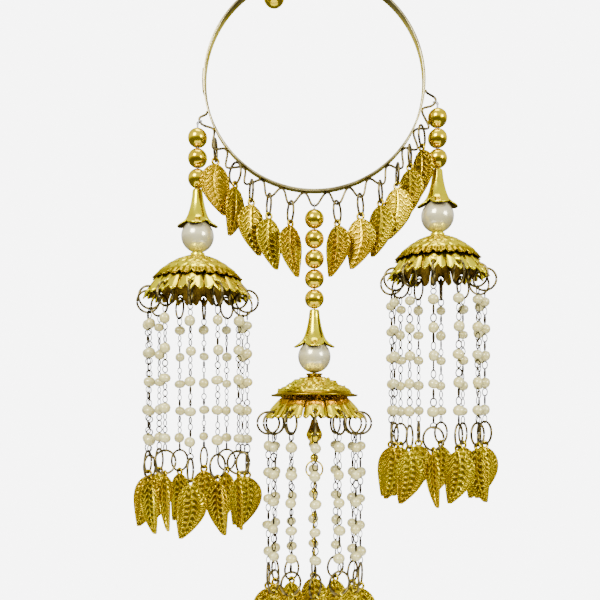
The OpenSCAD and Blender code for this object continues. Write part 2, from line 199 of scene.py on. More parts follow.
def curveThrough(points, steps):
    # a smooth line through a few (x, y) points, with an even number of steps in each span
    line = []
    last = len(points) - 1
    for i in range(last):
        p0, p1, p2, p3 = (Vector(points[clamp(j, 0, last)]) for j in (i - 1, i, i + 1, i + 2))
        for k in range(steps):
            t = k / steps
            line.append(0.5 * (2 * p1 + (p2 - p0) * t + (2 * p0 - 5 * p1 + 4 * p2 - p3) * t ** 2
                               + (3 * p1 - p0 - 3 * p2 + p3) * t ** 3))
    line.append(Vector(points[-1]))
    return [tuple(p) for p in line]


def settle(piece):
    # turns a piece's live modifiers into a plain mesh
    bpy.context.view_layer.update()
    graph = bpy.context.evaluated_depsgraph_get()
    mesh = bpy.data.meshes.new_from_object(piece.evaluated_get(graph))
    piece.modifiers.clear()
    piece.data = mesh
    return piece


def thicken(piece, wall, lining):
    # gives a sheet its wall, lined with its own material; for caps, side domes and skirts that lining is dark
    # gold, painted shade inside the hollow piece
    piece.data.materials.append(lining)
    shell = piece.modifiers.new("wall", "SOLIDIFY")
    shell.material_offset = 1
    shell.thickness = wall * mm
    shell.offset = -1
    settle(piece)


def joinPieces(name, pieces):
    # one object of several settled pieces, which keep their materials
    bpy.ops.object.select_all(action="DESELECT")
    for piece in pieces:
        piece.select_set(True)
    bpy.context.view_layer.objects.active = pieces[0]
    bpy.ops.object.join()
    pieces[0].name = name
    pieces[0].data.name = name
    return pieces[0]


def handIn(piece, body, slot, *nodes):
    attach(piece, body)
    if nodes:
        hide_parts(*nodes)


# Nodes

def addNode(tree, kind, inputs, **settings):
    # each input is another node's output, or a value of its own
    node = tree.nodes.new(kind)
    for key, value in settings.items():
        setattr(node, key, value)
    for key, value in inputs.items():
        if isinstance(value, bpy.types.NodeSocket):
            tree.links.new(value, node.inputs[key])
        else:
            node.inputs[key].default_value = value
    return node


def mapped(tree, source, span, low, high):
    node = addNode(tree, "ShaderNodeMapRange", {"Value": source, "From Min": span[0], "From Max": span[1],
                                                "To Min": low, "To Max": high})
    return node.outputs["Result"]


def combined(tree, operation, *values):
    node = addNode(tree, "ShaderNodeMath", dict(enumerate(values)), operation=operation)
    return node.outputs["Value"]


def objectNoise(tree, scale, detail):
    place = tree.nodes.new("ShaderNodeTexCoord").outputs["Object"]
    cloud = addNode(tree, "ShaderNodeTexNoise", {"Vector": place, "Scale": scale, "Detail": detail})
    return cloud.outputs["Fac"]


def ramp(tree, source, stops):
    stops = list(stops)
    node = addNode(tree, "ShaderNodeValToRGB", {"Fac": source})
    while len(node.color_ramp.elements) < len(stops):
        node.color_ramp.elements.new(0.5)
    for element, (place, colour) in zip(node.color_ramp.elements, stops):
        element.position = place
        element.color = (*colour, 1)
    return node.outputs["Color"]


def pointValue(tree, name):
    return addNode(tree, "ShaderNodeAttribute", {}, attribute_name=name).outputs


def newMaterial(name, inputs):
    material = bpy.data.materials.new(name)
    material.use_nodes = True
    tree = material.node_tree
    shader = tree.nodes["Principled BSDF"]
    for key, value in inputs.items():
        shader.inputs[key].default_value = value
    return material, tree, shader


def setSurface(tree, shader, colour, roughness=None):
    tree.links.new(colour, shader.inputs["Base Color"])
    if roughness:
        tree.links.new(roughness, shader.inputs["Roughness"])


def bumpFrom(tree, shader, source, strength, distance):
    node = addNode(tree, "ShaderNodeBump", {"Height": source, "Strength": strength, "Distance": distance})
    tree.links.new(node.outputs["Normal"], shader.inputs["Normal"])


# Materials

# colours of the materials; the lining, hollow and rim colours among them are painted shade
coloursAndShade = {
    "goldBright": (0.92, 0.7, 0.0),
    "goldDeep": (0.76, 0.52, 0.0),
    "lemonBright": (0.95, 0.84, 0.0),
    "lemonDeep": (0.8, 0.66, 0.0),
    "goldEdge": (1.0, 0.88, 0.2),
    "brassBright": (0.6, 0.52, 0.24),
    "brassDeep": (0.34, 0.28, 0.12),
    # painted shade: the dark gold of the inner faces of caps, side domes and skirts
    "innerBright": (0.15, 0.09, 0.008),
    "innerDeep": (0.06, 0.034, 0.005),
    "domeHigh": (0.98, 0.86, 0.0),
    # painted shade: the dome's colour in hollows, creases and crinkle valleys
    "domeLow": (0.36, 0.26, 0.0),
    "domeTarnish": (0.9, 0.8, 0.6),
    "leafHigh": (0.78, 0.6, 0.0),
    # painted shade: the leaf's colour in the hollows between its raised lines
    "leafLow": (0.09, 0.055, 0.0),
    "leafTarnish": (0.84, 0.72, 0.5),
    "wireLight": (0.27, 0.21, 0.07),
    "wireDark": (0.05, 0.04, 0.015),
    "chainLight": (0.08, 0.065, 0.03),
    "chainDark": (0.03, 0.025, 0.012),
    # pearl and seed colours; each rim colour is painted shade towards the edge as seen
    "pearlWarm": (0.98, 0.88, 0.44),
    "pearlCool": (0.92, 0.86, 0.54),
    "pearlRim": (0.4, 0.34, 0.2),
    "seedWarm": (0.9, 0.78, 0.26),
    "seedCool": (0.84, 0.77, 0.32),
    "seedRim": (0.6, 0.52, 0.2),
    "nylonDark": (0.72, 0.7, 0.66),
    "nylonLight": (0.86, 0.85, 0.82),
}

# Scales are clouds a metre; a span is where a cloud's tone changes; heights are in metres.
wearAndShade = {
    "goldScale": 260,
    "goldSpan": (0.35, 0.6),
    "dentScale": 900,
    "dentStrength": 0.12,
    "dentHeight": 0.0002,
    "patinaScale": 420,
    "patinaShare": 0.22,
    # painted shade: the span over which the hollows' dark tone turns into the full colour
    "reliefSpan": (0.14, 0.72),
    "reliefShine": 0.2,  # roughness on the highest places
    "reliefTop": 1.2,
    "tarnishScale": 55,
    "tarnishSpan": (0.4, 0.6),
    "grainScale": 2600,
    "grainStrength": 0.05,
    "grainHeight": 0.0001,
    "wireScale": 700,
    "wireSpan": (0.38, 0.62),
    "wireRoughness": 0.36,
    "pearlSpan": (0.35, 0.65),
    "pearlEdge": 0.35,
    "pitFineness": 6,
    "pitStrength": 0.08,
    "pitHeight": 0.0002,
    "hazeScale": 800,
    "hazeSpan": (0.3, 0.7),
}

# Where each line of the cast leaf begins and ends: a vein's span is the distance to it, in vein pitches.
castLines = {
    "vein": (0.07, 0.22),
    "branch": (0.36, 0.47),
    "branchTone": 0.7,
    "branchSide": (0.35, 0.5),
    "field": (0.76, 0.8),
    "rib": (0.04, 0.1),
    "bead": (0.2, 0.4),
    "rim": (0.8, 0.85),
    # painted shade: the tone of the ground between the raised lines
    "ground": 0.14,
    "height": 0.00018,
}
metal = {"Metallic": 1, "Specular Tint": (*coloursAndShade["goldEdge"], 1)}


def polishedGold(name, low, high, smoothest=0.1, roughest=0.24):
    material, tree, shader = newMaterial(name, metal)
    cloud = objectNoise(tree, wearAndShade["goldScale"], 4)
    setSurface(tree, shader, ramp(tree, cloud, zip(wearAndShade["goldSpan"], (low, high))),
               mapped(tree, cloud, (0, 1), smoothest, roughest))
    bumpFrom(tree, shader, objectNoise(tree, wearAndShade["dentScale"], 2), wearAndShade["dentStrength"], wearAndShade["dentHeight"])
    return material


# the painted shade tone that a mesh keeps on its points, low in hollows and creases
def meshRelief(tree):
    return pointValue(tree, "relief")["Fac"]


def leafRaised(tree):
    # veins, rib and beaded rim, drawn from each point's place on the leaf; the ground between them keeps a
    # low tone, painted shade in the hollows
    place = pointValue(tree, "pattern")["Vector"]
    wave, side, beads = addNode(tree, "ShaderNodeSeparateXYZ", {0: place}).outputs
    near = combined(tree, "PINGPONG", wave, 0.5)
    vein = mapped(tree, near, castLines["vein"], 1, 0)
    branch = combined(tree, "MULTIPLY", mapped(tree, near, castLines["branch"], 0, castLines["branchTone"]),
                      mapped(tree, side, castLines["branchSide"], 0, 1))
    veins = combined(tree, "MULTIPLY", combined(tree, "MAXIMUM", vein, branch),
                     mapped(tree, side, castLines["field"], 1, 0))
    rib = mapped(tree, side, castLines["rib"], 1, 0)
    spot = mapped(tree, combined(tree, "PINGPONG", beads, 0.5), castLines["bead"], 1, 0)
    rim = combined(tree, "MULTIPLY", spot, mapped(tree, side, castLines["rim"], 0, 1))
    raised = combined(tree, "MAXIMUM", combined(tree, "MAXIMUM", veins, rib), rim)
    return mapped(tree, raised, (0, 1), castLines["ground"], 1)


def reliefGold(name, low, high, dullness, tarnish, relief, carving):
    # gold whose hollows are darker, painted shade mixed with random patina; carving is the height that the
    # relief is given in the light
    material, tree, shader = newMaterial(name, metal)
    depth = relief(tree)
    patina = objectNoise(tree, wearAndShade["patinaScale"], 4)
    hollowShadeAndPatina = combined(tree, "MULTIPLY_ADD", patina, wearAndShade["patinaShare"], depth)
    tone = ramp(tree, hollowShadeAndPatina, zip(wearAndShade["reliefSpan"], (low, high)))
    region = objectNoise(tree, wearAndShade["tarnishScale"], 1)
    cast = ramp(tree, region, zip(wearAndShade["tarnishSpan"], ((1, 1, 1), tarnish)))
    tinted = addNode(tree, "ShaderNodeMix", {0: 1, 6: tone, 7: cast}, data_type="RGBA", blend_type="MULTIPLY")
    setSurface(tree, shader, tinted.outputs[2],
               mapped(tree, hollowShadeAndPatina, (0, wearAndShade["reliefTop"]), dullness, wearAndShade["reliefShine"]))
    if carving:
        bumpFrom(tree, shader, depth, 1, carving)
    else:
        grain = objectNoise(tree, wearAndShade["grainScale"], 2)
        bumpFrom(tree, shader, grain, wearAndShade["grainStrength"], wearAndShade["grainHeight"])
    return material


def wireGold(name, low, high):
    material, tree, shader = newMaterial(name, {"Metallic": 1, "Roughness": wearAndShade["wireRoughness"]})
    cloud = objectNoise(tree, wearAndShade["wireScale"], 3)
    setSurface(tree, shader, ramp(tree, cloud, zip(wearAndShade["wireSpan"], (low, high))))
    return material


def pearlLustre(name, kind, scale, roughness, lustre):
    warm, cool, rim = (coloursAndShade[kind + part] for part in ("Warm", "Cool", "Rim"))
    material, tree, shader = newMaterial(name, {"Metallic": lustre, "Roughness": roughness, "Coat Weight": 1,
                                                "Coat IOR": 1.65, "Coat Roughness": 0.1})
    body = ramp(tree, objectNoise(tree, scale, 3), zip(wearAndShade["pearlSpan"], (warm, cool)))
    # painted shade: the colour turns to the rim colour towards the edges as seen
    edge = addNode(tree, "ShaderNodeLayerWeight", {"Blend": wearAndShade["pearlEdge"]}).outputs["Facing"]
    blended = addNode(tree, "ShaderNodeMix", {0: edge, 6: body, 7: (*rim, 1)}, data_type="RGBA")
    setSurface(tree, shader, blended.outputs[2])
    pits = objectNoise(tree, scale * wearAndShade["pitFineness"], 2)
    bumpFrom(tree, shader, pits, wearAndShade["pitStrength"], wearAndShade["pitHeight"])
    return material


def clearNylon():
    material, tree, shader = newMaterial("clearNylon", {"Roughness": 0.25, "Transmission Weight": 0.5})
    haze = objectNoise(tree, wearAndShade["hazeScale"], 2)
    tones = (coloursAndShade["nylonDark"], coloursAndShade["nylonLight"])
    setSurface(tree, shader, ramp(tree, haze, zip(wearAndShade["hazeSpan"], tones)))
    return material


gold = polishedGold("polishedGold", coloursAndShade["goldDeep"], coloursAndShade["goldBright"])
lemonGold = polishedGold("lemonGold", coloursAndShade["lemonDeep"], coloursAndShade["lemonBright"])
brass = polishedGold("stripBrass", coloursAndShade["brassDeep"], coloursAndShade["brassBright"], 0.16, 0.34)
# painted shade: dark lining for the insides of caps, side domes and skirts
innerGold = polishedGold("innerGold", coloursAndShade["innerDeep"], coloursAndShade["innerBright"], 0.32, 0.5)
leafGold = reliefGold("leafGold", coloursAndShade["leafLow"], coloursAndShade["leafHigh"], 0.36, coloursAndShade["leafTarnish"],
                      leafRaised, castLines["height"])
domeGold = reliefGold("domeGold", coloursAndShade["domeLow"], coloursAndShade["domeHigh"], 0.24, coloursAndShade["domeTarnish"],
                      meshRelief, 0)
ringWire = wireGold("ringWire", coloursAndShade["wireDark"], coloursAndShade["wireLight"])
chainWire = wireGold("chainWire", coloursAndShade["chainDark"], coloursAndShade["chainLight"])
pearlShine = pearlLustre("pearlLustre", "pearl", 240, 0.2, 0.4)
seedShine = pearlLustre("seedPearl", "seed", 130, 0.34, 0.1)
nylon = clearNylon()
print("materials made")


# Geometry Nodes

def newTree(name, sockets):
    # a tree with named inputs for its sizes, and one for its material
    tree = bpy.data.node_groups.new(name, "GeometryNodeTree")
    for way in ("INPUT", "OUTPUT"):
        tree.interface.new_socket("Geometry", in_out=way, socket_type="NodeSocketGeometry")
    for label, kind in sockets + [("Material", "Material")]:
        tree.interface.new_socket(label, in_out="INPUT", socket_type="NodeSocket" + kind)
    return tree, tree.nodes.new("NodeGroupInput").outputs


def endTree(tree, geometry, material):
    real = addNode(tree, "GeometryNodeRealizeInstances", {"Geometry": geometry}).outputs["Geometry"]
    soft = addNode(tree, "GeometryNodeSetShadeSmooth", {"Geometry": real}).outputs["Geometry"]
    paint = addNode(tree, "GeometryNodeSetMaterial", {"Geometry": soft, "Material": material})
    addNode(tree, "NodeGroupOutput", {"Geometry": paint.outputs["Geometry"]})
    return tree


def pointVector(tree, name):
    node = addNode(tree, "GeometryNodeInputNamedAttribute", {"Name": name}, data_type="FLOAT_VECTOR")
    return node.outputs["Attribute"]


def placeCopies(tree, given, copy):
    # copies a shape to each point by its own turn and size, and makes the copies real
    turn = addNode(tree, "FunctionNodeEulerToRotation", {0: pointVector(tree, "turn")})
    place = addNode(tree, "GeometryNodeInstanceOnPoints", {
        "Points": given["Geometry"], "Instance": copy, "Rotation": turn.outputs[0],
        "Scale": pointVector(tree, "size")})
    return endTree(tree, place.outputs["Instances"], given["Material"])


def circle(tree, radius, steps):
    node = addNode(tree, "GeometryNodeCurvePrimitiveCircle", {"Radius": radius, "Resolution": steps})
    return node.outputs["Curve"]


def wireAlong(tree, given, curve, capped):
    section = circle(tree, given["Wire Radius"], given["Wire Steps"])
    wire = addNode(tree, "GeometryNodeCurveToMesh", {"Curve": curve, "Profile Curve": section,
                                                     "Fill Caps": capped})
    return wire.outputs["Mesh"]


wireSockets = [("Wire Radius", "Float"), ("Wire Steps", "Int")]
ringSockets = wireSockets + [("Ring Radius", "Float"), ("Ring Steps", "Int")]


def jumpRingTree():
    # a wire ring at each point, with a fine cut where it was opened
    tree, given = newTree("jumpRing", ringSockets + [("Cut", "Float")])
    sweep = combined(tree, "SUBTRACT", fullTurn, given["Cut"])
    ring = addNode(tree, "GeometryNodeCurveArc", {
        "Radius": given["Ring Radius"], "Resolution": given["Ring Steps"], "Sweep Angle": sweep})
    return placeCopies(tree, given, wireAlong(tree, given, ring.outputs["Curve"], True))


def closedRingTree():
    # a soldered wire ring at each point
    tree, given = newTree("closedRing", ringSockets)
    ring = circle(tree, given["Ring Radius"], given["Ring Steps"])
    return placeCopies(tree, given, wireAlong(tree, given, ring, False))


def castCopyTree():
    # a shape made elsewhere, such as a leaf or a pearl, at each point
    tree, given = newTree("castCopy", [("Shape", "Object")])
    shape = addNode(tree, "GeometryNodeObjectInfo", {"Object": given["Shape"]})
    return placeCopies(tree, given, shape.outputs["Geometry"])


def drawnWireTree():
    # a round wire along a line of points
    tree, given = newTree("drawnWire", wireSockets)
    path = addNode(tree, "GeometryNodeMeshToCurve", {"Mesh": given["Geometry"]})
    return endTree(tree, wireAlong(tree, given, path.outputs["Curve"], True), given["Material"])


jumpRing = jumpRingTree()
closedRing = closedRingTree()
castCopy = castCopyTree()
drawnWire = drawnWireTree()
ringCut = 0.04  # the angle left open in a jump ring


def growNodes(piece, tree, **values):
    # runs a tree on a piece, each input found by its name and set by its identifier
    modifier = piece.modifiers.new(tree.name, "NODES")
    modifier.node_group = tree
    for item in tree.interface.items_tree:
        key = item.name[0].lower() + item.name[1:].replace(" ", "")
        if item.in_out == "INPUT" and key in values:
            modifier[item.identifier] = values[key]
    return settle(piece)


def spot(position, turn=(0, 0, 0), size=(1, 1, 1)):
    return position, turn, size


def pointPiece(name, spots, material):
    piece = newPiece(name, [s[0] for s in spots], [], [], material)
    addVectors(piece, "turn", [value for s in spots for value in s[1]])
    addVectors(piece, "size", [value for s in spots for value in s[2]])
    return piece


def makeRings(name, spots, material, tree, radius, wire, ringSteps, wireSteps):
    return growNodes(pointPiece(name, spots, material), tree, ringRadius=radius * mm, wireRadius=wire * mm,
                     ringSteps=ringSteps, wireSteps=wireSteps, cut=ringCut, material=material)


def makeCopies(name, spots, material, shape):
    return growNodes(pointPiece(name, spots, material), castCopy, shape=shape, material=material)


def faceOn(degrees):
    return (0, 0, math.radians(degrees))


def upright(degrees):
    return (quarterTurn, 0, math.radians(degrees))


# Bangle: strip, lap joint, wave wire and the ball under its top

bangle = {
    "innerRadius": 32.5,
    "stripThickness": 0.7,
    "stripWidth": 3.2,
    "edgeRound": 0.22,
    "edgeSteps": 3,
    "stripSteps": 240,
    "lapThickness": 0.35,
    "lapInset": 0.2,  # how much narrower the lap is than the strip
    "lapSink": 0.05,
    "lapFrom": 84,  # degrees from the top, anticlockwise seen from the front
    "lapSweep": 12,
    "lapSteps": 16,
    "waveWire": 0.36,
    "waveSteps": 16,
    "waveSides": 10,
    "waveSink": 0.1,  # how deep a peak lies in the solder
    "waveStart": -74.3,  # degrees from straight down
    "peakHold": 1.5,  # how long the wire keeps its heading at a peak and in a valley
    "valleyHold": 1.5,
    "sideHold": 0.8,  # longer in a valley at the bangle's side
    "solderRadius": 0.34,
    "ballPlace": (-12.1, -7.1),
    "ballDiameter": 6.3,
    "postRadius": 0.55,
    "postFoot": [(0.55, 0.3), (0.9, -0.2)],  # radius, height above the ball's top
    "postSink": 0.3,  # into the strip
    "poleRadius": 0.0004,
}
# Each valley of the wave wire: degrees from straight down, reach from the bangle's centre, slope of the wire
# there, degrees of the peak that follows.
valleys = [(-70.8, 36.4, -62, -64.3), (-55.6, 35.9, 0, -51.8), (-44.8, 36.5, 0, -38.9),
           (-33.3, 36.8, 0, -27.8), (-21.5, 37.2, 0, -16.8), (-11, 37.5, 0, -5.2), (0, 37.3, 0, 6.6),
           (10.6, 37.4, 0, 17.8), (21.8, 37.3, 0, 28.9), (33.3, 36.8, 0, 40.7), (44.6, 36.6, 0, 52.5),
           (55.9, 36.5, 0, 63.2), (67.2, 36.5, 0, 75.2), (80.3, 36.8, 62, 85.7)]
bangleCentre = Vector((0, 0, -bangle["innerRadius"]))


def onBangle(degrees, reach):
    angle = math.radians(degrees)
    return (bangleCentre + reach * Vector((math.sin(angle), 0, -math.cos(angle)))) * mm


def heading(degrees, length):
    angle = math.radians(degrees)
    return Vector((math.cos(angle), 0, math.sin(angle))) * length * mm


def wavePoint(valley, t):
    # a point of the wave wire, from the peak before a valley (0) to the one after it (1)
    turn, reach, slope, after = valleys[valley]
    before = valleys[valley - 1][3] if valley else bangle["waveStart"]
    foot = bangle["innerRadius"] + bangle["stripThickness"] + bangle["waveWire"] - bangle["waveSink"]
    low = onBangle(turn, reach)
    hold = heading(slope, bangle["valleyHold"] + bangle["sideHold"] * abs(math.sin(math.radians(turn))))
    if t < 0.5:
        start = onBangle(before, foot)
        points = (start, start + heading(before, bangle["peakHold"]), low - hold, low)
        u = 2 * t
    else:
        end = onBangle(after, foot)
        points = (low, low + hold, end - heading(after, bangle["peakHold"]), end)
        u = 2 * t - 1
    weights = ((1 - u) ** 3, 3 * (1 - u) ** 2 * u, 3 * (1 - u) * u * u, u ** 3)
    return sum((w * p for w, p in zip(weights, points)), Vector())


def bandSection(inner, outer, width, rounding):
    # the rounded cross-section of a flat strip, as (radius, offset) points
    right, left = outer - rounding, inner + rounding
    high, low = width / 2 - rounding, -width / 2 + rounding
    points = []
    for corner, (cx, cy) in enumerate(((right, high), (left, high), (left, low), (right, low))):
        for k in range(bangle["edgeSteps"] + 1):
            a = math.radians(90 * corner + 90 / bangle["edgeSteps"] * k)
            points.append((cx + rounding * math.cos(a), cy + rounding * math.sin(a)))
    return points


def bandPiece(name, inner, outer, width, start, sweep, steps):
    # a strip bent round the bangle's centre; a part turn gets closed ends
    section = bandSection(inner, outer, width, bangle["edgeRound"])
    count = len(section)
    verts, faces = [], []
    rows = steps if sweep >= 360 else steps + 1
    for i in range(rows):
        angle = math.radians(start + sweep * i / steps)
        for r, offset in section:
            verts.append((bangleCentre + Vector((-r * math.sin(angle), 0, r * math.cos(angle)))) * mm
                         + Vector((0, offset * mm, 0)))
    for i in range(steps):
        here, there = i * count, (i + 1) % rows * count
        for k in range(count):
            beside = (k + 1) % count
            faces.append((here + k, here + beside, there + beside, there + k))
    if sweep < 360:
        faces.append(tuple(range(count - 1, -1, -1)))
        faces.append(tuple(range(steps * count, steps * count + count)))
    return meshPiece(name, verts, faces, brass)


def makeBangle():
    inner = bangle["innerRadius"]
    outer = inner + bangle["stripThickness"]
    parts = [bandPiece("strip", inner, outer, bangle["stripWidth"], 0, 360, bangle["stripSteps"])]
    parts.append(bandPiece("lap", outer - bangle["lapSink"], outer + bangle["lapThickness"],
                           bangle["stripWidth"] - bangle["lapInset"], bangle["lapFrom"], bangle["lapSweep"],
                           bangle["lapSteps"]))
    steps, last = bangle["waveSteps"], len(valleys) - 1
    line = [wavePoint(i, k / steps) for i in range(len(valleys)) for k in range(steps)] + [wavePoint(last, 1)]
    wave = newPiece("wave", line, [(k, k + 1) for k in range(len(line) - 1)], [], ringWire)
    parts.append(growNodes(wave, drawnWire, wireRadius=bangle["waveWire"] * mm, wireSteps=bangle["waveSides"],
                           material=ringWire))
    ballX, ballZ = bangle["ballPlace"]
    radius = bangle["ballDiameter"] / 2
    parts.append(lathe("ball", ballLine(radius, 32, bangle["poleRadius"]), gold, (ballX * mm, 0, ballZ * mm)))
    postTop = -inner + math.sqrt((inner + bangle["postSink"]) ** 2 - ballX ** 2)
    post = [(bangle["postRadius"], postTop)] + [(r, ballZ + radius + z) for r, z in bangle["postFoot"]]
    parts.append(lathe("post", post, gold, (ballX * mm, 0, 0), 24))
    blob = lathe("blob", ballLine(bangle["solderRadius"], 8, bangle["poleRadius"]), ringWire, steps=12)
    solder = [spot(wavePoint(i, 0)) for i in range(len(valleys))]
    parts.append(makeCopies("solder", solder, ringWire, blob))
    bpy.data.objects.remove(blob)
    handIn(joinPieces("bangleBand", parts), "bangle", "gold", "bangle")


makeBangle()
print("bangle made")


# Leaves: u runs down the leaf and s across it, from -1 to 1

leaf = {
    "length": 15.6,
    "width": 9.0,
    "stem": 0.6,  # from the eye's centre to the blade
    "belly": 0.5,  # how far the middle line bows
    "bend": 3.0,  # how far the tip swings aside
    "bendPower": 2.6,
    "widest": 0.72,  # the lower, the nearer to the stem
    "fullness": 0.8,  # the lower, the rounder the sides
    "plate": 0.25,  # from the middle to each face
    "edgeThins": 0.45,
    "edgeFrom": 0.93,
    "bladeSpan": (0.02, 0.97),  # where the mesh begins and ends along the blade
    "leastHalf": 0.12,
    "dish": 0.35,
    "veins": 9,
    "veinHeight": 0.13,
    "veinWidth": 0.13,
    "veinSweep": 0.34,
    "veinBow": 1.3,
    "veinCurl": 0.03,
    "curlLength": 0.6,
    "curlShift": 2.2,  # between the two halves of the leaf
    "branchWidth": 0.09,
    "branchShare": 0.6,
    "branchSide": (0.4, 0.5),
    "fieldSide": (0.01, 0.06),
    "stemSpan": (0.02, 0.06),
    "ribHeight": 0.22,
    "ribWidth": 0.06,
    "ribThins": 0.4,
    "rimHeight": 0.2,
    "rimFloor": 0.1,
    "rimSide": (0.82, 0.87),
    "rimBeads": 22,
    "eyeRadius": 0.95,
    "eyeWire": 0.38,
    "alongSteps": 90,
    "acrossSteps": 22,
    "crowding": 0.35,  # how far the columns crowd towards both edges
}


def leafMiddle(t):
    return leaf["belly"] * math.sin(math.pi * t) - leaf["bend"] * t ** leaf["bendPower"]


def leafHalf(t):
    return leaf["width"] / 2 * math.sin(math.pi * t ** leaf["widest"]) ** leaf["fullness"]


def leafRelief(u, s):
    # the height of the cast pattern and its place for the material
    side = abs(s)
    shift = leaf["curlShift"] if s > 0 else 0
    swirl = leaf["veinCurl"] * math.sin(fullTurn * side / leaf["curlLength"] + shift) * (1 - 0.5 * u)
    wave = leaf["veins"] * (u - swirl)
    near = abs(wave - round(wave))
    field = smooth(*leaf["fieldSide"], side) * (1 - smooth(*castLines["field"], side))
    branch = leaf["branchShare"] * bump(0.5 - near, leaf["branchWidth"]) * smooth(*leaf["branchSide"], side)
    vein = max(bump(near, leaf["veinWidth"]), branch) * field * smooth(*leaf["stemSpan"], u)
    rib = bump(side, leaf["ribWidth"]) * (1 - leaf["ribThins"] * u)
    beads = 0.5 + 0.5 * math.cos(fullTurn * leaf["rimBeads"] * u)
    rim = smooth(*leaf["rimSide"], side) * mix(leaf["rimFloor"], 1, beads)
    high = max(leaf["veinHeight"] * vein, leaf["ribHeight"] * rib, leaf["rimHeight"] * rim)
    return high, (wave, side, leaf["rimBeads"] * u)


def makeLeaf():
    rows, cols = leaf["alongSteps"], leaf["acrossSteps"]
    verts, pattern = [], []
    for face in (-1, 1):
        for i in range(rows + 1):
            u = i / rows
            for j in range(cols + 1):
                column = 2 * j / cols - 1
                s = mix(column, math.sin(quarterTurn * column * 0.999), leaf["crowding"])
                # each row of the mesh runs along a vein, outwards and down
                sweep = leaf["veinSweep"] * abs(s) ** leaf["veinBow"] * (1 - u) * smooth(0, 0.3, u)
                t = mix(*leaf["bladeSpan"], u + sweep)
                x = leafMiddle(t) + s * max(leafHalf(t), leaf["leastHalf"])
                high, place = leafRelief(u, s)
                high *= smooth(0, 0.05, u) * (1 - smooth(0.96, 1, u))
                edge = 1 - leaf["edgeThins"] * smooth(leaf["edgeFrom"], 1, abs(s))
                curve = leaf["dish"] * (s * s - 0.4) * math.sin(math.pi * t)
                y = curve + face * (leaf["plate"] + high) * edge
                verts.append((x * mm, y * mm, -(leaf["stem"] + leaf["length"] * t) * mm))
                pattern += place
    count = (rows + 1) * (cols + 1)
    faces = sheetFaces(rows, cols) + sheetFaces(rows, cols, count, True)
    # the edge all round, between the two faces
    rim = [(i * (cols + 1) + j, cols + 1, bool(j)) for i in range(rows) for j in (0, cols)]
    rim += [(i * (cols + 1) + j, 1, not i) for i in (0, rows) for j in range(cols)]
    for a, step, turned in rim:
        side = (a, a + count, a + step + count, a + step)
        faces.append(side[::-1] if turned else side)
    plate = meshPiece("leafPlate", verts, faces, leafGold)
    addVectors(plate, "pattern", pattern)
    eye = makeRings("leafEye", [spot((0, 0, 0), upright(0))], leafGold, closedRing, leaf["eyeRadius"],
                    leaf["eyeWire"], 18, 8)
    return joinPieces("leafShape", [plate, eye])


leafShape = makeLeaf()


# Leaf charms on the wave wire

charm = {
    "ringRadius": 3.2,
    "ringWire": 0.38,
    "wireHalf": 0.3,
}


def makeCharms():
    rings = []
    drop = charm["ringRadius"] - charm["ringWire"] - charm["wireHalf"] - layout["leafGap"]
    for k, (valley, ringTurn, leafTurn, swing, along) in enumerate(charmRows, 1):
        turn, forward = math.radians(ringTurn), math.radians(swing)
        side = around(1, turn, 0) * (-1 if math.sin(turn) > 0 else 1)
        lean = side * math.sin(forward) - Vector((0, 0, math.cos(forward)))
        centre = wavePoint(valley, along) + lean * drop * mm
        rings.append(spot(centre, upright(ringTurn)))
        hang = centre - Vector((0, 0, charm["ringRadius"] + layout["leafGap"])) * mm
        copy = makeCopies("charmLeaf%d" % k, [spot(hang, faceOn(leafTurn))], leafGold, leafShape)
        handIn(copy, "bangle", "leaf_gold", "charm_leaf_%d" % k)
    piece = makeRings("charmRings", rings, ringWire, jumpRing, charm["ringRadius"], charm["ringWire"], 36, 8)
    handIn(piece, "bangle", "dark_gold", "charm_rings")


makeCharms()
print("leaf charms made")


# Gold beads and pearls

bead = {
    "hole": 0.5,
    "lipRound": 0.18,
    "sideSteps": 30,
    "roundSteps": 52,
}


def makeBall(name, node, body, slot, material):
    # from the hole's mouth at the top, over the ball, to the mouth below and back through the hole
    radius, hole, lip = halfWidth(node), bead["hole"], bead["lipRound"]
    start = math.asin((hole + lip) / radius)
    arc = [mix(start, math.pi - start, k / bead["sideSteps"]) for k in range(bead["sideSteps"] + 1)]
    outline = [(radius * math.sin(a), radius * math.cos(a)) for a in arc]
    depth = outline[0][1] - lip
    outline += [(hole, -depth), (hole, depth)]
    handIn(lathe(name, outline, material, middle(node), bead["roundSteps"], closed=True), body, slot, node)


# Bell caps

cap = {
    "line": [(0.5, 0), (1.4, -0.1), (1.75, -2.6), (2.35, -5.6), (3.3, -8.4), (4.5, -9.9), (6.3, -11.2)],
    "lineSteps": 12,
    "petals": 4,
    "petalFullness": 0.75,
    "tipRadius": 6.1,
    "notchRadius": 3.6,
    "creaseWidth": 0.05,
    "creaseHeight": 0.12,
    "wall": 0.35,
    "rows": 38,
    "steps": 128,
}


def makeCap(dropName):
    node = dropName + "_bell_cap"
    centre = topMiddle(node)
    line = curveThrough(cap["line"], cap["lineSteps"])
    rows, steps = cap["rows"], cap["steps"]
    verts = []
    for i in range(rows + 1):
        for k in range(steps):
            angle = fullTurn * k / steps
            lobe = abs(math.cos(cap["petals"] * angle / 2)) ** cap["petalFullness"]
            cut = mix(cap["notchRadius"], cap["tipRadius"], lobe)
            end = next((j for j, p in enumerate(line) if p[0] >= cut), len(line) - 1)
            at = end * i / rows
            j = min(int(at), len(line) - 2)
            r, z = (mix(line[j][axis], line[j + 1][axis], at - j) for axis in (0, 1))
            crease = bump(math.remainder(angle, quarterTurn), cap["creaseWidth"]) * smooth(0.5, 0.9, i / rows)
            verts.append(centre + around(r, angle, z + cap["creaseHeight"] * crease) * mm)
    piece = meshPiece(dropName + "Cap", verts, ringFaces(rows + 1, steps), lemonGold)
    thicken(piece, cap["wall"], innerGold)
    handIn(piece, dropName + "_drop", "gold", node)


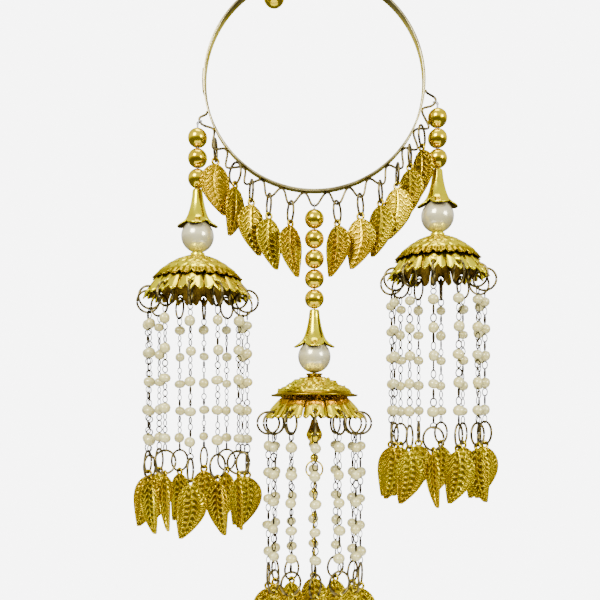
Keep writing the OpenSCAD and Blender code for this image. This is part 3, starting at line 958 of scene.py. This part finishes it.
# Domes

dome = {
    "height": 7.2,
    "profile": 1.9,  # the power of its outline
    "neck": 2.15,
    "collar": 0.8,
    "rows": 5,
    "scallops": 22,
    "scaleStep": 0.3,
    "scaleRoot": 0.45,  # how far a scale reaches under the row above it, in rows
    "scaleEnd": 0.62,
    "scaleLobe": 0.5,
    "scaleRound": 0.7,
    "topScale": 0.8,
    "rimFrom": 0.85,
    "rimBlend": 0.02,
    "rimNotch": 0.75,
    "notchFrom": 0.82,
    "flutes": 44,
    "fluteStep": 0.3,
    # tones of painted shade on the side dome: scale roots under the row above and the fluted rim band darker
    "fluteTone": (0.22, 0.12),  # a tone's rise with the relief, and what is taken off it
    "scaleTone": (1.5, 0.25),
    "collarTone": 0.9,
    "wall": 0.45,
    "downSteps": 54,
    "roundSteps": 264,
    "cone": [(0.5, 0), (2.3, 0), (2.45, -0.25), (2.3, -0.55), (2.15, -0.85), (4.4, -1.85), (7, -3.2),
             (9.2, -4.3), (10.8, -5.25), (11.35, -5.95), (12.2, -6.25), (13, -6.4)],
    "coneSteps": 192,
    "crinkle": 0.62,
    "crinkleFrom": (2.6, 4.2),
    "crinkleTo": (10.6, 11.3),
    "crinkleTone": 3.4,
}


def scaleHeight(t, angle):
    # how far a point stands out on overlapping scales
    rows = dome["rows"]
    for row in range(rows):
        lobe = abs(math.cos(math.pi * (angle / fullTurn * dome["scallops"] + 0.5 * (row % 2))))
        end = (row + dome["scaleEnd"] + dome["scaleLobe"] * lobe ** dome["scaleRound"]) / rows
        start = (row - dome["scaleRoot"]) / rows
        if start <= t <= end:
            return (t - start) / (end - start) * (1 if row else dome["topScale"])
    return 0.0


def makeSideDome(dropName):
    node = dropName + "_dome"
    radius, centre = halfWidth(node), topMiddle(node)
    rows, steps, neck = dome["downSteps"], dome["roundSteps"], dome["neck"]
    turns = [fullTurn * k / steps for k in range(steps)]
    collar = [(0.5, 0.0), (1.4, 0.0), (neck - 0.08, -0.02), (neck, -0.1), (neck, -0.62)]
    verts = [centre + around(r, angle, z) * mm for r, z in collar for angle in turns]
    values = [dome["collarTone"]] * len(verts)
    (scaleRise, scaleDark), (fluteRise, fluteDark) = dome["scaleTone"], dome["fluteTone"]
    for i in range(rows + 1):
        t = i / rows
        for angle in turns:
            lobe = abs(math.cos(dome["scallops"] * angle / 2))
            reach = radius - dome["rimNotch"] * (1 - lobe) * smooth(dome["notchFrom"], 1, t)
            r = mix(neck, reach, t)
            z = -dome["collar"] - dome["height"] * (r / radius) ** dome["profile"]
            flute = 0.5 + 0.5 * math.cos(dome["flutes"] * angle)
            rim = smooth(dome["rimFrom"] - dome["rimBlend"], dome["rimFrom"] + dome["rimBlend"], t)
            lift = mix(dome["scaleStep"] * scaleHeight(t, angle), dome["fluteStep"] * (flute - 0.6), rim)
            slope = dome["height"] * dome["profile"] * (r / radius) ** (dome["profile"] - 1) / radius
            size = math.hypot(1, slope)
            verts.append(centre + around(r + lift * slope / size, angle, z + lift / size) * mm)
            # painted shade: each scale darker at its root under the row above, the fluted rim band dark and
            # darkest in its hollows
            scaleTone = clamp(scaleRise * lift / dome["scaleStep"] - scaleDark)
            values.append(mix(scaleTone, fluteRise * flute - fluteDark, rim))
    faces = ringFaces(len(collar) + rows + 1, steps)
    piece = meshPiece(dropName + "Dome", verts, faces, domeGold, values)
    thicken(piece, dome["wall"], innerGold)
    handIn(piece, dropName + "_drop", "gold", node)


def makeConeDome(dropName):
    node = dropName + "_dome"
    line = curveThrough(dome["cone"], 6)

    def crinkled(r):
        return smooth(*dome["crinkleFrom"], r) * (1 - smooth(*dome["crinkleTo"], r))

    def crinkleAt(row, angle):
        r, z = line[row]
        place = around(r, angle, z * 1.6)
        fine = noise.noise(place * 1.4 + Vector((7, 3, 1)))
        return (abs(noise.noise(place * 0.62)) + 0.5 * abs(fine)) * crinkled(r)

    def shape(row, angle):
        r, z = line[row]
        lift = dome["crinkle"] * (crinkleAt(row, angle) * 2 - 0.5 * crinkled(r))
        return r + 0.5 * lift, z + 0.8 * lift

    # painted shade: the valleys of the crinkles are given a darker tone
    piece = lathe(dropName + "Dome", line, domeGold, topMiddle(node), dome["coneSteps"], shape=shape,
                  relief=lambda row, angle: clamp(dome["crinkleTone"] * crinkleAt(row, angle) - 0.14))
    thicken(piece, dome["wall"], gold)
    handIn(piece, dropName + "_drop", "gold", node)


# Skirts of petals

skirt = {
    "radius": {"left": 16.2, "centre": 15, "right": 15},
    "curve": {"left": 2.15, "centre": 1.8, "right": 2.15},
    "drop": 13.8,  # from the dome's top to the skirt's edge
    "top": 0.8 + 0.45 + 0.3,  # from the dome's top: its collar, its wall and the gap under it
    "wall": 0.45,
    "weld": 0.02,
    "holeAt": 0.9,
    "holeRadius": 0.8,
    "gapAt": 0.61,
    "gapRadius": 0.75,
    "holeSearch": 1.2,
    "holePull": 0.9,  # how far the points round a hole move to its edge
    "edge": [(0, 1), (0.2, 0.97), (0.36, 0.92), (0.5, 0.97), (0.68, 0.98), (0.84, 0.965), (0.97, 0.94),
             (1, 0.64)],  # half a petal: place across it, reach of its edge
    "innerRadius": 0.5,
    "innerCrowding": 0.9,
    "puff": 0.75,
    "puffSpan": (0.45, 0.95),  # parts of the radius, as all spans here
    "lobePuff": 0.14,
    "lobePitch": 0.71,
    # tones of painted shade on the skirt: creases, seams between petals and roots under the dome
    "creaseTone": 0.55,
    "creaseSpan": (0.6, 0.75),
    "creaseShade": 0.75,
    "seamFrom": 0.86,
    "rootEnd": {"left": 0.84, "centre": 0.62, "right": 0.84},
    "rootShade": {"left": 0.75, "centre": 0.35, "right": 0.75},
    "rootBlend": (0.06, 0.03),
    "rootRibs": 44,
    "rootRibTone": 0.25,
    "acrossSteps": 26,
    "downSteps": 34,
}


def skirtEdge(side):
    points = skirt["edge"]
    for (a, high), (b, low) in zip(points, points[1:]):
        if side <= b:
            return mix(high, low, (side - a) / (b - a))
    return points[-1][1]


def skirtHeight(dropName, r):
    fall = skirt["drop"] - skirt["top"]
    return -fall * (r / skirt["radius"][dropName]) ** skirt["curve"][dropName]


def skirtSlope(dropName, r, step):
    return (skirtHeight(dropName, r + step) - skirtHeight(dropName, r - step)) / (2 * step)


def strandAngle(dropName, k):
    return math.radians(-90 + layout["firstTurn"][dropName] + k * 360 / layout["strands"])


def makeSkirt(dropName):
    node = dropName + "_skirt"
    centre = middle(dropName + "_pearl")
    centre.z = topMiddle(node).z
    radius = skirt["radius"][dropName]
    across, down = skirt["acrossSteps"], skirt["downSteps"]
    rootEnd, rootShade = skirt["rootEnd"][dropName], skirt["rootShade"][dropName]
    (before, after), ribTone = skirt["rootBlend"], skirt["rootRibTone"]
    halfPetal = math.pi / layout["strands"]
    verts, faces, values = [], [], []
    for petal in range(layout["strands"]):
        faces += sheetFaces(down, across, len(verts))
        for i in range(down + 1):
            for j in range(across + 1):
                side = math.sin(math.pi * (j / across - 0.5))
                edge = skirtEdge(abs(side)) * radius
                r = mix(skirt["innerRadius"], edge, (i / down) ** skirt["innerCrowding"])
                angle = strandAngle(dropName, petal) + side * halfPetal
                lobe = 0.5 + 0.5 * math.cos(fullTurn * side / skirt["lobePitch"])
                puff = skirt["puff"] * (0.5 - side * side) + skirt["lobePuff"] * (lobe - 0.5)
                lift = puff * smooth(*skirt["puffSpan"], r / radius)
                slope = -skirtSlope(dropName, r, 0.05) if r > 1 else 0
                size = math.hypot(1, slope)
                z = skirtHeight(dropName, r) + lift / size
                verts.append(centre + around(r + lift * slope / size, angle, z) * mm)
                # painted shade: darker in the creases between lobes, at the seams between petals and on the
                # ribbed roots under the dome
                crease = skirt["creaseTone"] * (1 - lobe) ** 3 * smooth(*skirt["creaseSpan"], r / radius)
                crease += smooth(skirt["seamFrom"], 1, abs(side))
                rib = 1 - ribTone + ribTone * math.cos(skirt["rootRibs"] * angle)
                root = (1 - smooth(rootEnd - before, rootEnd + after, r / radius)) * rib * rootShade
                values.append(clamp(1 - skirt["creaseShade"] * crease - root))
    piece = meshPiece(dropName + "Skirt", verts, faces, domeGold, values)
    piece.modifiers.new("seams", "WELD").merge_threshold = skirt["weld"] * mm
    settle(piece)
    punchHoles(piece, dropName, centre)
    thicken(piece, skirt["wall"], innerGold)
    handIn(piece, dropName + "_drop", "gold", node)


def punchHoles(piece, dropName, centre):
    # opens each petal's hole for its jump ring, and the gap between it and the next
    shape = bmesh.new()
    shape.from_mesh(piece.data)
    radius = skirt["radius"][dropName]
    holes = []
    for petal in range(layout["strands"]):
        turn = strandAngle(dropName, petal)
        holes.append((turn, skirt["holeAt"] * radius, skirt["holeRadius"]))
        holes.append((turn + math.pi / layout["strands"], skirt["gapAt"] * radius, skirt["gapRadius"]))
    for turn, r, reach in holes:
        hole = centre + around(r, turn, skirtHeight(dropName, r)) * mm
        slope = skirtSlope(dropName, r, 0.1)
        out = around(1, turn, 0)
        up = Vector((-slope * out.x, -slope * out.y, 1)).normalized()

        def away(v):
            offset = v.co - hole
            return offset - up * offset.dot(up)

        near = [v for v in shape.verts if (v.co - hole).length < (reach + skirt["holeSearch"]) * mm]
        inside = {v for v in near if away(v).length < reach * mm}
        rim = {v for f in {f for v in inside for f in v.link_faces} for v in f.verts} - inside
        bmesh.ops.delete(shape, geom=list(inside), context="VERTS")
        for v in rim:
            offset = away(v)
            if offset.length > 0:
                v.co += offset * (reach * mm / offset.length - 1) * skirt["holePull"]
    shape.to_mesh(piece.data)
    shape.free()


# Jump rings, strands and leaves of a drop

strand = {
    "ringRadius": 3.3,
    "ringWire": 0.35,
    "ringOut": 0.3,  # the ring's centre outside the petal's hole
    "pearlWidth": 3.3,
    "pearlHeight": 2.9,
    "pearlRound": 0.85,  # the lower, the flatter the pearl's ends
    "pearlHole": 0.12,
    "pearlSway": 0.18,
    "pearlTilt": 0.25,
    "pearls": 5,
    "loopRadius": 0.95,
    "loopWire": 0.21,
    "loopPitch": 2.3,
    "loopOverlap": 0.3,
    "loopReach": 1.3,  # from a pearl's centre to the end of its loop
    "eyeReach": 0.75,  # how far the first and last loop reach into their rings
}


def makeSeedShape():
    outline = []
    for k in range(7):
        a = math.pi * k / 6
        wide = strand["pearlWidth"] / 2 * math.sin(a) ** strand["pearlRound"]
        outline.append((max(wide, strand["pearlHole"]), strand["pearlHeight"] / 2 * math.cos(a)))
    return lathe("seedShape", outline, seedShine, steps=12)


seedShape = makeSeedShape()


def pearlSpots(x, y, centres, firstSeed):
    spots = []
    for seed, z in enumerate(centres, firstSeed):
        sway = [wobble(seed + n, strand["pearlSway"]) for n in (0, 9)]
        tilt = [wobble(seed + n, strand["pearlTilt"]) for n in (5, 7)]
        width = 1 + wobble(seed + 3, 0.09)
        spots.append(spot(Vector((x + sway[0], y + sway[1], z)) * mm, (*tilt, 0),
                          (width, width, 1 + wobble(seed + 6, 0.1))))
    return spots


def loopSpots(x, y, stops, angle, k):
    # wire loops along one strand, each stretch between two stops filled evenly
    spots = []
    for i in range(0, len(stops), 2):
        top, span = stops[i], stops[i] - stops[i + 1]
        count = max(1, round(span / strand["loopPitch"]))
        step = (span + strand["loopOverlap"] * (count - 1)) / count
        squeeze = step / 2 / (strand["loopRadius"] + strand["loopWire"])
        for n in range(count):
            z = top - step / 2 - n * (step - strand["loopOverlap"])
            turn = angle + (n % 2) * quarterTurn + wobble(60 * k + 7 * i + n, 0.5)
            if i == 0 and n == 0:
                turn = angle + quarterTurn
            spots.append(spot(Vector((x, y, z)) * mm, (quarterTurn, 0, turn),
                              (min(1, 0.75 + wobble(z * 3 + k, 0.2)), squeeze, 1)))
    return spots


def makeStrands(dropName):
    ringLow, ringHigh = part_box(dropName + "_skirt_rings")
    centre = middle(dropName + "_pearl") / mm
    ringZ = (ringLow[2] + ringHigh[2]) / 2 / mm
    ringR, pitch = strand["ringRadius"], layout["pearlPitch"][dropName]
    top = ringZ - ringR - layout["gap"]
    out = skirt["holeAt"] * skirt["radius"][dropName] + strand["ringOut"]
    skirtRings, endRings, leaves, pearls, loops = [], [], [], [], []
    for k, (extra, ringTurn, leafTurn) in enumerate(strandRows[dropName]):
        angle = strandAngle(dropName, k)
        x, y = centre.x + out * math.cos(angle), centre.y + out * math.sin(angle)
        bottom = top - (2 * layout["lead"] + (strand["pearls"] - 1) * pitch + extra)
        endZ = bottom - ringR - layout["gap"]
        skirtRings.append(spot(Vector((x, y, ringZ)) * mm, (quarterTurn, 0, angle)))
        endRings.append(spot(Vector((x, y, endZ)) * mm, upright(ringTurn)))
        leaves.append(spot(Vector((x, y, endZ - ringR - layout["leafGap"])) * mm, faceOn(leafTurn)))
        first = top - layout["lead"] - extra / 2
        centres = [first - i * pitch for i in range(strand["pearls"])]
        reach = strand["loopReach"]
        stops = [top + strand["eyeReach"]] + [z for c in centres for z in (c + reach, c - reach)]
        stops.append(bottom - strand["eyeReach"])
        pearls += pearlSpots(x, y, centres, 40 * k + len(dropName) * 17)
        loops += loopSpots(x, y, stops, angle, k)
    body = dropName + "_drop"
    for kind, node, spots in (("Skirt", "_skirt_rings", skirtRings), ("End", "_end_rings", endRings)):
        rings = makeRings(dropName + kind + "Rings", spots, ringWire, jumpRing, ringR,
                          strand["ringWire"], 36, 8)
        handIn(rings, body, "dark_gold", dropName + node)
    hung = makeCopies(dropName + "Leaves", leaves, leafGold, leafShape)
    handIn(hung, body, "leaf_gold", dropName + "_leaves")
    seeds = makeCopies(dropName + "SeedPearls", pearls, seedShine, seedShape)
    handIn(seeds, body, "seed_pearl", dropName + "_strands")
    wires = makeRings(dropName + "Loops", loops, chainWire, closedRing, strand["loopRadius"],
                      strand["loopWire"], 10, 4)
    handIn(wires, body, "dark_gold")


# Thread and finial

thread = {
    "loopRadius": 0.68,
    "loopWire": 0.15,
    "radius": 0.3,
    "knot": [(0.02, 0.45), (0.3, 0.33), (0.45, 0), (0.33, -0.35), (0.3, -0.5)],  # radius, height
    "knotDrop": 0.33,
    "stopperRadius": 1.2,
    "stopperNeck": 1.15,
    "poleRadius": 0.02,
}
finial = {
    "line": [(0.5, 0), (0.9, 0), (1.1, -0.6), (1.5, -2), (2.2, -3.6), (2.4, -4.6), (2, -5.8), (1.2, -6.6),
             (1.3, -7.1), (0.9, -7.4), (0.5, -7.4)],
}
tail = {
    "ballRadius": 1.25,
    "ballFlat": 0.94,
    "ringRadius": 2.5,
    "ringWire": 0.28,
    "ringOverlap": 0.25,
    "bitRadius": 0.9,
    "bitFlat": (1, 0.85, 0.95),
    "bitTilt": 0.5,
    "bits": (10.1, 17, 25.1, 30),  # below the crimped ball
    "linkPitch": 1.15,
    "linkRadius": 0.52,
    "linkWire": 0.16,
    "linkShape": (0.7, 1.15, 1),
    "linkTurn": 0.6,
}


def makeThread(dropName):
    node = dropName + "_thread"
    centre = middle(dropName + "_pearl")
    turn, reach = valleys[layout["valley"][dropName]][:2]
    knotZ = onBangle(turn, reach + thread["loopRadius"]).z / mm - thread["knotDrop"]
    ball = thread["stopperRadius"]
    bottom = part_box(node)[0][2] / mm + ball
    loop = [spot(onBangle(turn, reach), (0, math.radians(90 - turn), 0))]
    parts = [makeRings("loop", loop, nylon, closedRing, thread["loopRadius"], thread["loopWire"], 28, 8)]
    outline = [(r, knotZ + z) for r, z in thread["knot"]]
    outline += [(thread["radius"], bottom + thread["stopperNeck"])]
    outline += [(r, bottom + z) for r, z in ballLine(ball, 12, thread["poleRadius"])[1:]]
    parts.append(lathe("shaft", outline, nylon, (centre.x, centre.y, 0), 16))
    handIn(joinPieces(dropName + "Thread", parts), dropName + "_drop", "thread", node)


def makeFinial():
    node = "centre_finial"
    piece = lathe("centreFinial", curveThrough(finial["line"], 6), gold, topMiddle(node))
    handIn(piece, "centre_drop", "gold", node)


def makeTail():
    # the crimped ball, ring and fine chain below the finial, with gold bits on the chain
    node = "centre_tail"
    centre = middle(node) / mm
    ball, ringR = tail["ballRadius"], tail["ringRadius"]
    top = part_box(node)[1][2] / mm - ball
    ringZ = top - ball - ringR + tail["ringOverlap"]

    def down(z):
        return Vector((centre.x, centre.y, z)) * mm

    nugget = lathe("nugget", ballLine(ball, 16, thread["poleRadius"]), gold, steps=20)
    bits = [spot(down(top), size=(1, 1, tail["ballFlat"]))]
    for k, at in enumerate(tail["bits"]):
        tilt = (wobble(k + 3, tail["bitTilt"]), wobble(k + 8, tail["bitTilt"]), 0)
        bits.append(spot(down(top - at), tilt, [tail["bitRadius"] / ball * flat for flat in tail["bitFlat"]]))
    parts = [makeCopies("bits", bits, gold, nugget)]
    bpy.data.objects.remove(nugget)
    parts.append(makeRings("tailRing", [spot(down(ringZ), upright(0))], gold, closedRing, ringR,
                           tail["ringWire"], 36, 10))
    start, end = ringZ - ringR, top - tail["bits"][-1]
    count = round((start - end) / tail["linkPitch"])
    links = [spot(down(mix(start, end, (n + 0.5) / count)),
                  (quarterTurn, 0, tail["linkTurn"] + n % 2 * quarterTurn), tail["linkShape"])
             for n in range(count)]
    parts.append(makeRings("links", links, gold, closedRing, tail["linkRadius"], tail["linkWire"], 14, 6))
    handIn(joinPieces("centreTail", parts), "centre_drop", "gold", node)


for dropName in layout["drops"]:
    for k in range(1, layout["beads"][dropName] + 1):
        makeBall("%sBead%d" % (dropName, k), "%s_bead_%d" % (dropName, k), dropName + "_drop", "gold", gold)
    makeBall(dropName + "Pearl", dropName + "_pearl", dropName + "_drop", "pearl", pearlShine)
    makeCap(dropName)
    if dropName == "centre":
        makeConeDome(dropName)
    else:
        makeSideDome(dropName)
    makeSkirt(dropName)
    makeStrands(dropName)
    makeThread(dropName)
    print(dropName, "drop made")
makeFinial()
makeTail()
bpy.data.objects.remove(leafShape)
bpy.data.objects.remove(seedShape)

# Floor, light and camera

studio = {
    "floorBelow": 60,
    "floorHalf": 170,
    "floorTone": 0.93,
    "distance": 225,
    "eye": (-4.3, -135),  # across and height of the camera
    "viewCentre": -98.0,
    "viewWidth": 180.0,
    "sensor": 36,
    # how bright the sky is at a height, from straight down (-1) to straight up (1)
    "sky": [(-1, 0.16), (-0.12, 0.16), (0.08, 0.5), (0.2, 1.1), (0.5, 1.1), (0.66, 0.95), (1, 1.1)],
    "backdrop": 7.0,
    # place, target, size in metres and power of each light
    "keyLight": ((-0.35, -0.55, 0.25), (0, 0, -0.09), 0.3, 7),
    "fillLight": ((0.5, -0.45, 0.05), (0, 0, -0.1), 0.22, 3.5),
    "topLight": ((0, -0.05, 0.5), (0, 0, -0.1), 0.3, 2),
}


def paleFloor():
    tone = studio["floorTone"]
    material = newMaterial("paleFloor", {"Base Color": (tone, tone, tone, 1), "Roughness": 0.9})[0]
    z = cadBounds[0][2] - studio["floorBelow"] * mm
    half = studio["floorHalf"] * mm
    corners = [(-half, -half, z), (half, -half, z), (half, half, z), (-half, half, z)]
    meshPiece("floor", corners, [(0, 1, 2, 3)], material)


def softLight(name):
    place, target, size, power = studio[name]
    light = bpy.data.lights.new(name, "AREA")
    light.shape = "SQUARE"
    light.size = size
    light.energy = power
    lamp = bpy.data.objects.new(name, light)
    lamp.location = place
    lamp.rotation_euler = (Vector(target) - Vector(place)).to_track_quat("-Z", "Y").to_euler()
    bpy.context.collection.objects.link(lamp)


def studioSky():
    # a soft sky, dark below with a bright band above, before a pale backdrop that only the camera sees
    world = bpy.data.worlds.new("studio")
    world.use_nodes = True
    bpy.context.scene.world = world
    tree = world.node_tree
    background = tree.nodes["Background"]
    direction = tree.nodes.new("ShaderNodeTexCoord").outputs["Generated"]
    up = addNode(tree, "ShaderNodeSeparateXYZ", {"Vector": direction}).outputs["Z"]
    sky = ramp(tree, mapped(tree, up, (-1, 1), 0, 1), [((z + 1) / 2, (v, v, v)) for z, v in studio["sky"]])
    direct = tree.nodes.new("ShaderNodeLightPath").outputs["Is Camera Ray"]
    seen = addNode(tree, "ShaderNodeMix", {0: direct, 2: sky, 3: studio["backdrop"]})
    tree.links.new(seen.outputs[0], background.inputs["Strength"])
    background.inputs["Color"].default_value = (1, 1, 1, 1)


def aimCamera():
    across, height = studio["eye"]
    camera = bpy.data.cameras.new("photoView")
    camera.sensor_fit = "HORIZONTAL"
    camera.sensor_width = studio["sensor"]
    camera.lens = studio["sensor"] * studio["distance"] / studio["viewWidth"]
    camera.shift_y = (studio["viewCentre"] - height) / studio["viewWidth"]
    camera.clip_start = 0.01
    camera.clip_end = 20
    holder = bpy.data.objects.new("photoView", camera)
    holder.location = (across * mm, -studio["distance"] * mm, height * mm)
    holder.rotation_euler = (quarterTurn, 0, 0)
    bpy.context.collection.objects.link(holder)
    bpy.context.scene.camera = holder


paleFloor()
studioSky()
softLight("keyLight")
softLight("fillLight")
softLight("topLight")
aimCamera()
print("studio made")
